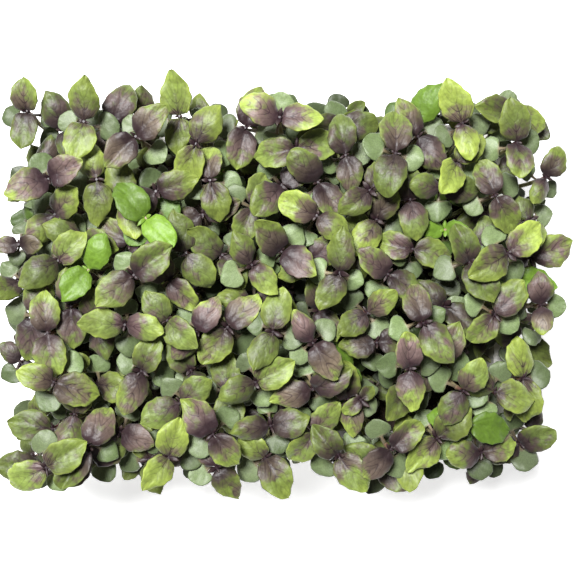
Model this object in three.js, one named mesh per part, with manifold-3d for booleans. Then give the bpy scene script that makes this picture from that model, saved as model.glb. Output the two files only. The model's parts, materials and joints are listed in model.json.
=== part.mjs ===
// A microgreens tray: purple basil seedlings in a block of growing medium, in a shallow tapered tray.
// Millimetres, +Z up. The origin is the middle of the tray's underside.
import * as THREE from "three";
import { mergeVertices } from "three/addons/utils/BufferGeometryUtils.js";
import Module from "manifold-3d";

const wasm = await Module();
wasm.setup();

// Driving dimensions
const tray = { length: 178, width: 127, height: 45, wall: 1.2, taper: 7, cornerRadius: 15, cornerSteps: 4 };
const lip = { reach: 6, thickness: 1.4, skirt: 4 };
const channel = { width: 5, depth: 1.6, offsets: [-36, -12, 12, 36] };
const drain = { radius: 2.6, spacing: 36, perRow: 4, rows: [-24, 24] };
const medium = { top: 36, gap: 0.3 };
const spots = { columns: 9, rows: 6, pitchX: 16.8, pitchY: 17.8, shift: 4, jitter: 2, hole: 2.3, depth: 8.5 };
const stand = {
  seed: 2617, perSpot: 2, perEdgeSpot: 3, perEndSpot: 4, tries: 240,
  overhang: [1.1, 1.2], spread: 5.4, parted: 1.1, overRim: 3, clearance: 0.35, joined: 12,
};
const stem = { radius: 1.05, nodeHeight: 1.3, rootDepth: 7.6, collar: 0.6, bud: 2.8 };
const heights = { members: [30, 24, 22, 27], range: 9, shoot: 5, shootRange: 4 };

// A leaf form: its stalk, blade length and width, and its outline as [share of the blade, share of the width].
const trueLeaf = {
  stalk: 1.8, length: 13.4, width: 10.8, thickness: 0.9,
  outline: [[0.37, 0.5], [0.76, 0.35]],
  lift: [6, 44], curl: [25, 65], fold: [-14, 26],
};
const seedLeaf = {
  stalk: 4.2, length: 7, width: 9.8, thickness: 0.9,
  outline: [[0, 0.055], [0.14, 0.42], [0.6, 0.47]],
  lift: [2, 26], curl: [8, 30], fold: [-6, 14],
};

const finishes = {
  tray: { color: 0xe6e5df, roughness: 0.45, metalness: 0 },
  medium: { color: 0x2c1f16, roughness: 0.95, metalness: 0 },
  purple: { color: 0x6b5560, roughness: 0.55, metalness: 0 },
  mottled: { color: 0x6f7350, roughness: 0.55, metalness: 0 },
  green: { color: 0x7f9c45, roughness: 0.55, metalness: 0 },
};
const finishRota = ["mottled", "purple", "green", "purple", "mottled"];

const radians = THREE.MathUtils.degToRad;
const quarter = Math.PI / 2;
const round = (value) => Math.round(value * 1000) / 1000;

// Solids
function solidFrom(geometry) {
  geometry.deleteAttribute("normal");
  geometry.deleteAttribute("uv");
  const merged = mergeVertices(geometry, 1e-4);
  const vertProperties = merged.attributes.position.array;
  const triVerts = new Uint32Array(merged.index.array);
  return new wasm.Manifold(new wasm.Mesh({ numProp: 3, vertProperties, triVerts }));
}

function geometryFrom(solid) {
  const mesh = solid.getMesh();
  const positions = new Float32Array(mesh.numVert * 3);
  for (let i = 0; i < mesh.numVert; i += 1) {
    const start = i * mesh.numProp;
    positions.set(mesh.vertProperties.subarray(start, start + 3), i * 3);
  }
  const geometry = new THREE.BufferGeometry();
  geometry.setAttribute("position", new THREE.BufferAttribute(positions, 3));
  geometry.setIndex(new THREE.BufferAttribute(new Uint32Array(mesh.triVerts), 1));
  geometry.computeVertexNormals();
  return geometry;
}

function meshOf(name, solid, finish) {
  const mesh = new THREE.Mesh(geometryFrom(solid), new THREE.MeshStandardMaterial(finishes[finish]));
  mesh.name = name;
  return mesh;
}

// The tray
function roundedRectangle(length, width, radius) {
  const shape = new THREE.Shape();
  const x = length / 2 - radius;
  const y = width / 2 - radius;
  shape.absarc(x, y, radius, 0, Math.PI / 2);
  shape.absarc(-x, y, radius, Math.PI / 2, Math.PI);
  shape.absarc(-x, -y, radius, Math.PI, 1.5 * Math.PI);
  shape.absarc(x, -y, radius, 1.5 * Math.PI, 2 * Math.PI);
  return shape;
}

// A block whose plan grows evenly with height, from its foot at z0 to its top at z1.
function taperedBlock(foot, head, radius, z0, z1) {
  const shape = roundedRectangle(foot.length, foot.width, radius);
  const geometry = new THREE.ExtrudeGeometry(shape, {
    depth: z1 - z0, bevelEnabled: false, curveSegments: tray.cornerSteps,
  });
  const places = geometry.attributes.position;
  for (let i = 0; i < places.count; i += 1) {
    const share = places.getZ(i) / (z1 - z0);
    places.setX(i, places.getX(i) * (1 + share * (head.length / foot.length - 1)));
    places.setY(i, places.getY(i) * (1 + share * (head.width / foot.width - 1)));
  }
  geometry.translate(0, 0, z0);
  return solidFrom(geometry);
}

// The wall's outline at a height, brought in by an inset.
function wallPlan(z, inset) {
  const grown = 2 * (tray.taper * (z / tray.height) - lip.reach - tray.taper - inset);
  return { length: tray.length + grown, width: tray.width + grown };
}

function walledBlock(z0, z1, inset) {
  const radius = tray.cornerRadius - lip.reach - inset;
  return taperedBlock(wallPlan(z0, inset), wallPlan(z1, inset), radius, z0, z1);
}

function box(length, width, height, x, y, z) {
  return solidFrom(new THREE.BoxGeometry(length, width, height).translate(x, y, z));
}

function makeTray() {
  const floorTop = tray.wall;
  const rim = { length: tray.length, width: tray.width };
  const skirtInner = { length: tray.length - 2 * lip.thickness, width: tray.width - 2 * lip.thickness };
  const underLip = tray.height - lip.thickness;
  let solid = walledBlock(0, tray.height, 0);
  solid = solid.add(taperedBlock(rim, rim, tray.cornerRadius, tray.height - lip.skirt, tray.height));
  const hollow = taperedBlock(
    skirtInner, skirtInner, tray.cornerRadius - lip.thickness, tray.height - lip.skirt - 1, underLip,
  );
  solid = solid.subtract(hollow.subtract(walledBlock(0, tray.height, 0)));
  solid = solid.subtract(walledBlock(floorTop, tray.height + 1, tray.wall));
  const run = wallPlan(0, 0).length - 2 * tray.cornerRadius;
  for (const y of channel.offsets) {
    const ribHeight = floorTop + channel.depth;
    solid = solid.add(box(run, channel.width + 2 * tray.wall, ribHeight, 0, y, ribHeight / 2));
    solid = solid.subtract(box(run - 2 * tray.wall, channel.width, 2 * channel.depth, 0, y, 0));
  }
  for (const y of drain.rows) {
    for (let i = 0; i < drain.perRow; i += 1) {
      const x = (i - (drain.perRow - 1) / 2) * drain.spacing;
      const bore = new THREE.CylinderGeometry(drain.radius, drain.radius, 4 * tray.wall, 8);
      solid = solid.subtract(solidFrom(bore.rotateX(Math.PI / 2).translate(x, y, 0)));
    }
  }
  return solid;
}

// Every draw is seeded by its place and its try, so that each one can be made again by itself.
function drawsFor(seed) {
  let state = seed >>> 0;
  return () => {
    state = (state + 0x6d2b79f5) >>> 0;
    let mixed = Math.imul(state ^ (state >>> 15), state | 1);
    mixed ^= mixed + Math.imul(mixed ^ (mixed >>> 7), mixed | 61);
    return ((mixed ^ (mixed >>> 14)) >>> 0) / 4294967296;
  };
}

// Where a clump is rooted, on a loose staggered grid, and which way each of its seedlings leans. At the
// tray's edge a third one leans out over the rim, and at its two ends a fourth.
function spotAt(column, row) {
  const index = row * spots.columns + column;
  const draw = drawsFor(stand.seed + index);
  const stagger = row % 2 ? spots.shift : -spots.shift;
  const x = (column - (spots.columns - 1) / 2) * spots.pitchX + stagger + (draw() - 0.5) * 2 * spots.jitter;
  const y = (row - (spots.rows - 1) / 2) * spots.pitchY + (draw() - 0.5) * 2 * spots.jitter;
  const parting = draw() * 2 * Math.PI;
  const outward = Math.atan2(y / tray.width, x / tray.length);
  const atEnd = column % (spots.columns - 1) === 0;
  const onEdge = atEnd || row % (spots.rows - 1) === 0;
  const directions = [parting, parting + Math.PI, outward, outward + stand.parted];
  const count = atEnd ? stand.perEndSpot : onEdge ? stand.perEdgeSpot : stand.perSpot;
  return { index, x, y, directions: directions.slice(0, count) };
}

function allSpots() {
  const found = [];
  for (let row = 0; row < spots.rows; row += 1) {
    for (let column = 0; column < spots.columns; column += 1) found.push(spotAt(column, row));
  }
  return found;
}

function between(range, share) {
  return range[0] + (range[1] - range[0]) * share;
}

function drawLeaf(form, turn, draw) {
  const size = 0.88 + 0.24 * draw();
  return {
    form, size,
    turn: turn + radians(24) * (draw() - 0.5),
    lift: radians(between(form.lift, draw())),
    curl: radians(between(form.curl, draw())),
    fold: radians(between(form.fold, draw())),
    roll: radians(30) * (draw() - 0.5),
  };
}

// One seedling as numbers: its foot, its two leaf nodes, a pair of seed leaves and a pair of true leaves.
function drawSeedling(spot, member, attempt) {
  const draw = drawsFor(stand.seed * 7 + spot.index * 1009 + member * 499 + attempt * 60013);
  const away = spot.directions[member] + 0.9 * (draw() - 0.5);
  const overRim = member >= stand.perSpot ? stand.overRim : 0;
  const reach = stand.spread * (0.8 + 0.5 * draw()) + overRim;
  const x = spot.x * stand.overhang[0] + reach * Math.cos(away);
  const y = spot.y * stand.overhang[1] + reach * Math.sin(away);
  const lower = medium.top + heights.members[member] + heights.range * draw();
  const upper = lower + heights.shoot + heights.shootRange * draw();
  const turn = 2 * Math.PI * draw();
  return {
    turn,
    foot: new THREE.Vector3(spot.x, spot.y, medium.top),
    lower: new THREE.Vector3(x, y, lower),
    upper: new THREE.Vector3(x + 1.2 * (draw() - 0.5), y + 1.2 * (draw() - 0.5), upper),
    seedLeaves: [drawLeaf(seedLeaf, turn, draw), drawLeaf(seedLeaf, turn + Math.PI, draw)],
    trueLeaves: [
      drawLeaf(trueLeaf, turn + quarter, draw),
      drawLeaf(trueLeaf, turn + 3 * quarter, draw),
    ],
  };
}

// A leaf's middle line is an arc that starts at its lift and bends down by its curl.
function leafPoint(node, leaf, along, across, above) {
  const whole = (leaf.form.stalk + leaf.form.length) * leaf.size;
  const bend = leaf.curl / whole;
  const slope = leaf.lift - bend * along;
  const out = (Math.sin(leaf.lift) - Math.sin(slope)) / bend;
  const up = (Math.cos(slope) - Math.cos(leaf.lift)) / bend;
  const ahead = new THREE.Vector3(Math.cos(leaf.turn), Math.sin(leaf.turn), 0);
  const side = new THREE.Vector3(-Math.sin(leaf.turn), Math.cos(leaf.turn), 0);
  const rise = new THREE.Vector3(0, 0, 1);
  const normal = rise.clone().multiplyScalar(Math.cos(slope)).addScaledVector(ahead, -Math.sin(slope));
  const tiltedSide = side.clone().multiplyScalar(Math.cos(leaf.roll)).addScaledVector(normal, Math.sin(leaf.roll));
  const tiltedNormal = normal.multiplyScalar(Math.cos(leaf.roll)).addScaledVector(side, -Math.sin(leaf.roll));
  const drop = Math.abs(across) * Math.sin(leaf.fold);
  return node.clone()
    .addScaledVector(ahead, out)
    .addScaledVector(rise, up)
    .addScaledVector(tiltedSide, across * Math.cos(leaf.fold))
    .addScaledVector(tiltedNormal, above - drop);
}

// A ring of four points round the leaf: one edge, the upper face, the other edge, the lower face.
function leafRing(node, leaf, share, widthShare, extra) {
  const { form, size } = leaf;
  const along = (form.stalk + form.length * share) * size;
  const half = widthShare * form.width * size + extra;
  const thick = form.thickness / 2 + extra;
  return [[half, 0], [0, thick], [-half, 0], [0, -thick]].map(
    ([across, above]) => leafPoint(node, leaf, along, across, above),
  );
}

// A seedling is one closed skin. Its stem is a run of square rings, and each leaf grows out of one of
// the stem's faces at a leaf node. Both faces of a blade are split the same way.
function seedlingSolid(seedling, extra = 0) {
  const { foot, lower, upper, turn } = seedling;
  const points = [];
  const faces = [];
  const put = (point) => points.push(point) - 1;
  const squareRing = (centre, lift, ringTurn = turn) => [0, 1, 2, 3].map((corner) => {
    const angle = ringTurn + (corner - 0.5) * quarter;
    const reach = stem.radius + extra;
    const x = centre.x + reach * Math.cos(angle);
    const y = centre.y + reach * Math.sin(angle);
    return put(new THREE.Vector3(round(x), round(y), centre.z + lift));
  });
  const growLeaf = (leaf, node, root) => {
    const ring = leaf.form.outline.map(([share, width]) => leafRing(node, leaf, share, width, extra).map(put));
    const tip = put(leafPoint(node, leaf, (leaf.form.stalk + leaf.form.length) * leaf.size + extra, 0, 0));
    for (let j = 0; j < 4; j += 1) {
      const k = (j + 1) % 4;
      faces.push(root[j], root[k], ring[0][j], root[k], ring[0][k], ring[0][j]);
      for (let i = 0; i + 1 < ring.length; i += 1) {
        const [a, b, c, d] = [ring[i][j], ring[i][k], ring[i + 1][k], ring[i + 1][j]];
        faces.push(...(j % 2 ? [a, b, d, b, c, d] : [a, b, c, a, c, d]));
      }
      faces.push(ring[ring.length - 1][j], ring[ring.length - 1][k], tip);
    }
  };

  const half = stem.nodeHeight / 2;
  const rings = [
    squareRing(foot, stem.collar, Math.round(turn / quarter) * quarter),
    squareRing(lower, -half), squareRing(lower, half),
    squareRing(upper, -half), squareRing(upper, half),
  ];
  const leaves = new Map([
    ["1,0", [seedling.seedLeaves[0], lower]], ["1,2", [seedling.seedLeaves[1], lower]],
    ["3,1", [seedling.trueLeaves[0], upper]], ["3,3", [seedling.trueLeaves[1], upper]],
  ]);
  const root = put(new THREE.Vector3(foot.x, foot.y, foot.z - stem.rootDepth));
  const bud = put(new THREE.Vector3(upper.x, upper.y, upper.z + stem.bud));
  for (let j = 0; j < 4; j += 1) {
    const k = (j + 1) % 4;
    faces.push(rings[0][k], rings[0][j], root, rings[4][j], rings[4][k], bud);
    for (let i = 0; i + 1 < rings.length; i += 1) {
      const [a, b, c, d] = [rings[i][j], rings[i][k], rings[i + 1][k], rings[i + 1][j]];
      const grown = leaves.get(i + "," + j);
      if (grown) growLeaf(grown[0], grown[1], [b, c, d, a]);
      else faces.push(a, b, c, a, c, d);
    }
  }
  const geometry = new THREE.BufferGeometry().setFromPoints(points);
  geometry.setIndex(faces);
  return solidFrom(geometry);
}

function boundsMeet(a, b) {
  return [0, 1, 2].every((axis) => a.min[axis] < b.max[axis] && b.min[axis] < a.max[axis]);
}

// True if the thickened seedling crosses nothing that stands already, above the height where those of one
// clump come apart.
function standsClear(seedling, standing) {
  const shoot = seedlingSolid(seedling, stand.clearance).trimByPlane([0, 0, 1], medium.top + stand.joined);
  const bounds = shoot.boundingBox();
  return standing.every((other) => (
    !boundsMeet(bounds, other.bounds) || shoot.intersect(other.solid).isEmpty()
  ));
}

// Each seedling takes the first of its draws that stands clear of the rest, or is left out.
function plantSpots() {
  const standing = [];
  for (let member = 0; member < stand.perEndSpot; member += 1) {
    for (const spot of allSpots().filter(({ directions }) => member < directions.length)) {
      for (let attempt = 0; attempt < stand.tries; attempt += 1) {
        const seedling = drawSeedling(spot, member, attempt);
        if (standsClear(seedling, standing)) {
          const solid = seedlingSolid(seedling);
          standing.push({ spot: spot.index, solid, bounds: solid.boundingBox() });
          break;
        }
      }
    }
  }
  return standing;
}

function makeMedium() {
  const foot = tray.wall + channel.depth + medium.gap;
  let solid = walledBlock(foot, medium.top, tray.wall + medium.gap);
  for (const { x, y } of allSpots()) {
    const hole = new THREE.CylinderGeometry(spots.hole, spots.hole, 2 * spots.depth, 6);
    solid = solid.subtract(solidFrom(hole.rotateX(Math.PI / 2).translate(x, y, medium.top)));
  }
  return solid;
}

const group = new THREE.Group();
group.add(meshOf("tray", makeTray(), "tray"));
group.add(meshOf("growing_medium", makeMedium(), "medium"));

const standing = plantSpots();
for (let index = 0; index < spots.columns * spots.rows; index += 1) {
  const members = standing.filter((seedling) => seedling.spot === index);
  if (members.length) {
    const clump = members.map((seedling) => seedling.solid).reduce((whole, part) => whole.add(part));
    const name = "seedlings_r" + (1 + Math.floor(index / spots.columns)) + "_c" + (1 + (index % spots.columns));
    group.add(meshOf(name, clump, finishRota[index % finishRota.length]));
  }
}

export default group;
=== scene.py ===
import json
import math
import random
from functools import partial
from math import cos, pi, radians, sin
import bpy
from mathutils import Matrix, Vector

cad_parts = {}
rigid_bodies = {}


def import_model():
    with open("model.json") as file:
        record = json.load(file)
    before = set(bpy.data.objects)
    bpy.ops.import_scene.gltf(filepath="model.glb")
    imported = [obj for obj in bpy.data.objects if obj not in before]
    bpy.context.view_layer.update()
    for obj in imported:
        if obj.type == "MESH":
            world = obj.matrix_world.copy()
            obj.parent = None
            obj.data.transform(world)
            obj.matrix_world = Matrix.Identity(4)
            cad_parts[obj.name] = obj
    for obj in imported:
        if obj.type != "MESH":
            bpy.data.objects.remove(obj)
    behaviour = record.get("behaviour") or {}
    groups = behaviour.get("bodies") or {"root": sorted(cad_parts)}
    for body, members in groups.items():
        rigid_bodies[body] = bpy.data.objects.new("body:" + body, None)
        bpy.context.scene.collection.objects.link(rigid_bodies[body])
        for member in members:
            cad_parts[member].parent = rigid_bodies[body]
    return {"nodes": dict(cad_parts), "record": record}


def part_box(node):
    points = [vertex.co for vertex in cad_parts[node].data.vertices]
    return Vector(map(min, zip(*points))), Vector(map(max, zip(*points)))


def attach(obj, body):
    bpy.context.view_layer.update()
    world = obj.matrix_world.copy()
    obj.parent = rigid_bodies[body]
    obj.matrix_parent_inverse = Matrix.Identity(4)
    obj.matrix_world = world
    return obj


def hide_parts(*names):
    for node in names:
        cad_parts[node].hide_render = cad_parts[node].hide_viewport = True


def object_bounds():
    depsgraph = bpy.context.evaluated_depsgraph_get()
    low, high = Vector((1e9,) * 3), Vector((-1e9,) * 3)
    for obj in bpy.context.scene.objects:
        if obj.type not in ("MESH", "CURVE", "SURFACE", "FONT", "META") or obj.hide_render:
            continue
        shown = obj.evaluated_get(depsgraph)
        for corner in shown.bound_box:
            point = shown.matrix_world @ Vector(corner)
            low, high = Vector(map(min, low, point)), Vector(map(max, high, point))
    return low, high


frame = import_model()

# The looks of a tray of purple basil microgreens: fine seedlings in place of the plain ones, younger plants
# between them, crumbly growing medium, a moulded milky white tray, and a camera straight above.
from types import SimpleNamespace

import bmesh
import bpy
import numpy as np
from mathutils import Vector, noise
from mathutils.kdtree import KDTree

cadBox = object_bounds()
mm = 0.001
nodes = frame["nodes"]
slotOf = {part["node"]: part["material_slot"] for part in frame["record"]["subparts"]}
print("frame loaded:", len(nodes), "nodes")


# Small helpers for objects, colours and node trees

def newObject(name, mesh):
    made = bpy.data.objects.new(name, mesh)
    bpy.context.scene.collection.objects.link(made)
    return made


def meshFrom(name, points, faces, edges=()):
    mesh = bpy.data.meshes.new(name)
    mesh.from_pydata([tuple(point) for point in points], list(edges), faces)
    mesh.update()
    return mesh


def setNumbers(mesh, name, numbers, kind="FLOAT"):
    field = "vector" if kind == "FLOAT_VECTOR" else "value"
    mesh.attributes.new(name, kind, "POINT").data.foreach_set(field, numbers)


def newShelf(name):
    shelf = bpy.data.collections.new(name)
    bpy.context.scene.collection.children.link(shelf)
    return shelf


def clearShelf(shelf):
    for template in list(shelf.objects):
        bpy.data.objects.remove(template)
    bpy.data.collections.remove(shelf)


def srgb(red, green, blue):
    shares = [value / 255 for value in (red, green, blue)]
    return (*[s / 12.92 if s <= 0.04045 else ((s + 0.055) / 1.055) ** 2.4 for s in shares], 1)


def feed(tree, value, socket):
    if isinstance(value, bpy.types.NodeSocket):
        tree.links.new(value, socket)
    else:
        socket.default_value = value


def addNode(tree, kind, feeds=None, **settings):
    node = tree.nodes.new(kind)
    for name, value in settings.items():
        setattr(node, name, value)
    for name, value in (feeds or {}).items():
        feed(tree, value, node.inputs[name])
    return node


def firstOf(tree, kind, feeds=None, **settings):
    return addNode(tree, kind, feeds, **settings).outputs[0]


def doMath(tree, operation, *values, clamp=False):
    return firstOf(tree, "ShaderNodeMath", dict(enumerate(values)), operation=operation, use_clamp=clamp)


# Short names for a tree's sums. linear(value, factor, start) is value times factor, plus start.

def sumsIn(tree):
    operations = {
        "add": "ADD", "less": "SUBTRACT", "times": "MULTIPLY", "over": "DIVIDE", "linear": "MULTIPLY_ADD",
        "power": "POWER", "sine": "SINE", "cosine": "COSINE", "size": "ABSOLUTE", "most": "MAXIMUM",
    }
    return SimpleNamespace(**{name: partial(doMath, tree, kind) for name, kind in operations.items()})


def doVector(tree, operation, first, second):
    return firstOf(tree, "ShaderNodeVectorMath", {0: first, 1: second}, operation=operation)


def newTree(name, kind, inputs, outputs):
    tree = bpy.data.node_groups.new(name, kind)
    for direction, sockets in (("INPUT", inputs), ("OUTPUT", outputs)):
        for label, socketKind, *value in sockets:
            item = tree.interface.new_socket(label, in_out=direction, socket_type="NodeSocket" + socketKind)
            if value:
                item.default_value = value[0]
    start = tree.nodes.new("NodeGroupInput")
    end = tree.nodes.new("NodeGroupOutput")
    return tree, start.outputs, end.inputs


# The rule that the seedlings stand by, in millimetres and degrees. It is the same as the plain solids' own.

stand = {
    "seed": 2617, "tries": 240, "trayLength": 178, "trayWidth": 127,
    "columns": 9, "rows": 6, "pitchX": 16.8, "pitchY": 17.8, "shift": 4, "jitter": 2,
    "mediumTop": 36, "overhang": (1.1, 1.2), "spread": 5.4, "parted": 1.1,
    "perSpot": 2, "perEdgeSpot": 3, "perEndSpot": 4, "overRim": 3,
    "memberHeights": (30, 24, 22, 27), "range": 9, "shoot": 5, "shootRange": 4,
    "wander": 0.9, "reachLeast": 0.8, "reachRange": 0.5, "topShift": 1.2,
    "leafLeast": 0.88, "leafRange": 0.24, "leafTurn": 24, "leafRoll": 30, "strides": (7, 1009, 499, 60013),
}
tipMatch = {"within": 0.05, "least": 2}
leafForms = {
    "leaf": {"stalk": 1.8, "length": 13.4, "width": 10.8,
             "lift": (6, 44), "curl": (25, 65), "fold": (-14, 26)},
    "seed": {"stalk": 4.2, "length": 7, "width": 9.8, "lift": (2, 26), "curl": (8, 30), "fold": (-6, 14)},
    "bud": {"stalk": 0.3, "length": 4.4, "width": 2.9, "lift": (40, 70), "curl": (20, 80), "fold": (10, 40)},
}
kindNumbers = {"leaf": 0, "seed": 1, "bud": 2, "stem": 3}


def drawsFor(seed):
    state = seed & 0xFFFFFFFF

    def draw():
        nonlocal state
        state = (state + 0x6D2B79F5) & 0xFFFFFFFF
        mixed = ((state ^ (state >> 15)) * (state | 1)) & 0xFFFFFFFF
        mixed ^= (mixed + (mixed ^ (mixed >> 7)) * (mixed | 61)) & 0xFFFFFFFF
        return (mixed ^ (mixed >> 14)) / 4294967296
    return draw


def between(limits, share):
    return limits[0] + (limits[1] - limits[0]) * share


def spotAt(column, row):
    index = row * stand["columns"] + column
    draw = drawsFor(stand["seed"] + index)
    stagger = stand["shift"] if row % 2 else -stand["shift"]
    jitter = 2 * stand["jitter"]
    x = (column - (stand["columns"] - 1) / 2) * stand["pitchX"] + stagger + (draw() - 0.5) * jitter
    y = (row - (stand["rows"] - 1) / 2) * stand["pitchY"] + (draw() - 0.5) * jitter
    parting = draw() * 2 * pi
    outward = math.atan2(y / stand["trayWidth"], x / stand["trayLength"])
    atEnd = column % (stand["columns"] - 1) == 0
    onEdge = row % (stand["rows"] - 1) == 0
    directions = [parting, parting + pi, outward, outward + stand["parted"]]
    count = stand["perEndSpot" if atEnd else "perEdgeSpot" if onEdge else "perSpot"]
    name = f"r{row + 1}_c{column + 1}"
    return {"index": index, "x": x, "y": y, "directions": directions[:count], "name": name}


def drawLeaf(kind, turn, draw, scale=1.0):
    form = leafForms[kind]
    size = scale * (stand["leafLeast"] + stand["leafRange"] * draw())
    return {
        "kind": kind, "size": size,
        "turn": turn + radians(stand["leafTurn"]) * (draw() - 0.5),
        "lift": radians(between(form["lift"], draw())),
        "curl": radians(between(form["curl"], draw())),
        "fold": radians(between(form["fold"], draw())),
        "roll": radians(stand["leafRoll"]) * (draw() - 0.5),
    }


def drawSeedling(spot, member, attempt):
    numbers = (stand["seed"], spot["index"], member, attempt)
    draw = drawsFor(sum(stride * number for stride, number in zip(stand["strides"], numbers)))
    away = spot["directions"][member] + stand["wander"] * (draw() - 0.5)
    reach = stand["spread"] * (stand["reachLeast"] + stand["reachRange"] * draw())
    reach += stand["overRim"] if member >= stand["perSpot"] else 0
    x = spot["x"] * stand["overhang"][0] + reach * cos(away)
    y = spot["y"] * stand["overhang"][1] + reach * sin(away)
    lower = stand["mediumTop"] + stand["memberHeights"][member] + stand["range"] * draw()
    upper = lower + stand["shoot"] + stand["shootRange"] * draw()
    turn = 2 * pi * draw()
    aside = stand["topShift"]
    top = Vector((x + aside * (draw() - 0.5), y + aside * (draw() - 0.5), upper))
    seedLeaves = [drawLeaf("seed", turn + half * pi, draw) for half in (0, 1)]
    leaves = [drawLeaf("leaf", turn + quarter * pi / 2, draw) for quarter in (1, 3)]
    foot = Vector((spot["x"], spot["y"], stand["mediumTop"]))
    return {"foot": foot, "lower": Vector((x, y, lower)), "upper": top, "turn": turn,
            "seedLeaves": seedLeaves, "leaves": leaves}


def leafPoints(root, leaf, share, across):
    form = leafForms[leaf["kind"]]
    reach = (form["stalk"] + form["length"]) * leaf["size"]
    slope = leaf["lift"] - leaf["curl"] * share
    out = reach * (sin(leaf["lift"]) - np.sin(slope)) / leaf["curl"]
    up = reach * (np.cos(slope) - cos(leaf["lift"])) / leaf["curl"]
    aside = across * cos(leaf["fold"])
    off = -np.abs(across) * sin(leaf["fold"])
    side = aside * cos(leaf["roll"]) - off * sin(leaf["roll"])
    normal = aside * sin(leaf["roll"]) + off * cos(leaf["roll"])
    ahead = out - np.sin(slope) * normal
    rise = up + np.cos(slope) * normal
    east, north = cos(leaf["turn"]), sin(leaf["turn"])
    local = [ahead * east - side * north, ahead * north + side * east, rise]
    return np.stack([np.asarray(part) + base for part, base in zip(local, root)], axis=-1)


def leafRoots(seedling):
    pairs = [(seedling["lower"], leaf) for leaf in seedling["seedLeaves"]]
    return pairs + [(seedling["upper"], leaf) for leaf in seedling["leaves"]]


# Where a plain clump's leaf tips lie shows which of its draws it took.

def findSeedlings(spot):
    mesh = nodes["seedlings_" + spot["name"]].data
    corners = KDTree(len(mesh.vertices))
    for i, vertex in enumerate(mesh.vertices):
        corners.insert(vertex.co, i)
    corners.balance()
    found = []
    for member in range(len(spot["directions"])):
        for attempt in range(stand["tries"]):
            seedling = drawSeedling(spot, member, attempt)
            tips = [leafPoints(root, leaf, 1.0, 0.0) for root, leaf in leafRoots(seedling)]
            met = sum(corners.find(Vector(tip) * mm)[2] < tipMatch["within"] * mm for tip in tips)
            if met >= tipMatch["least"]:
                found.append(seedling)
                break
    return found


spots = [spotAt(column, row) for row in range(stand["rows"]) for column in range(stand["columns"])]
clumps = {spot["name"]: findSeedlings(spot) for spot in spots}
print("seedlings found in the plain clumps:", sum(len(members) for members in clumps.values()))


# Younger and lower plants fill the stand. Each takes the clear draw that covers the most bare ground.

younger = {
    "seed": 41, "count": 240, "draws": 140, "half": (76, 50), "overhang": (1.22, 1.26),
    "steep": 0.5, "steepBy": (5, 35), "atRim": 0.5, "rimShare": (0.8, 1),
    "heights": (10, 34), "shoot": (3, 8), "lean": 6.5, "shift": 0.8, "size": (0.76, 1.04), "grown": (0.35, 1),
    "cell": 1.0, "margin": 1.5, "around": 2, "inner": 12,
}
samples = {"along": (0.1, 0.99, 13), "across": (-0.48, 0.48, 9), "stem": (0.25, 1, 24)}


def widthAt(kind, share):
    form = leafForms[kind]
    stalk = form["stalk"] / (form["stalk"] + form["length"])
    blade = np.clip((share - stalk) / (1 - stalk), 0, 1)
    return np.where(share < stalk, 0.5, form["width"] * np.sin(pi * blade ** 0.8) ** 0.7)


def leafSamples(root, leaf):
    share, side = np.meshgrid(np.linspace(*samples["along"]), np.linspace(*samples["across"]))
    share, side = share.ravel(), side.ravel()
    return leafPoints(root, leaf, share, side * widthAt(leaf["kind"], share) * leaf["size"])


def seedlingSamples(seedling):
    leafPart = np.concatenate([leafSamples(root, leaf) for root, leaf in leafRoots(seedling)])
    foot, lower, upper = (np.array(seedling[key]) for key in ("foot", "lower", "upper"))
    way = np.linspace(*samples["stem"])[:, None]
    return leafPart, np.concatenate([foot + (lower - foot) * way, lower + (upper - lower) * way])


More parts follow.
